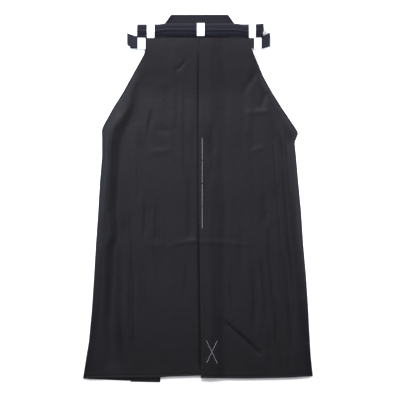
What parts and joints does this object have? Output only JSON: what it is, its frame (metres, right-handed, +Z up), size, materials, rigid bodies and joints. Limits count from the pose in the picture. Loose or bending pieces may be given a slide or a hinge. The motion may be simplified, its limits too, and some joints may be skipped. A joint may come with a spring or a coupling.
{
  "type": "men's hakama trousers laid flat",
  "caption": "Pleated wide-leg hakama trousers laid face down, back up, with a stiff back board and the waist ties folded in paper bands.",
  "frame": {"origin": "centre of the bounding box, on the surface the garment lies on", "axes": "+Y towards the waist and +X to the right as seen from above, with the back of the garment up; +Z up from the surface"},
  "size_m": [0.6154, 0.9842, 0.045],
  "materials": {
    "body_cloth": "charcoal twill, soft sheen",
    "tie_cloth": "charcoal ribbed cloth, soft sheen",
    "board_cloth": "charcoal twill pulled over card",
    "paper": "matt white paper"
  },
  "bodies": {
    "root": {"front_panel_left": "body_cloth", "front_panel_right": "body_cloth", "gusset_left": "body_cloth", "gusset_right": "body_cloth", "back_panel_left": "body_cloth", "back_panel_right": "body_cloth", "front_waistband": "tie_cloth", "front_tie_left": "tie_cloth", "front_tie_right": "tie_cloth", "back_tie_left": "tie_cloth", "back_tie_right": "tie_cloth", "back_board": "board_cloth", "paper_band_centre": "paper", "paper_band_upper_left": "paper", "paper_band_upper_right": "paper", "paper_band_lower_left": "paper", "paper_band_lower_right": "paper"}
  },
  "joints": []
}
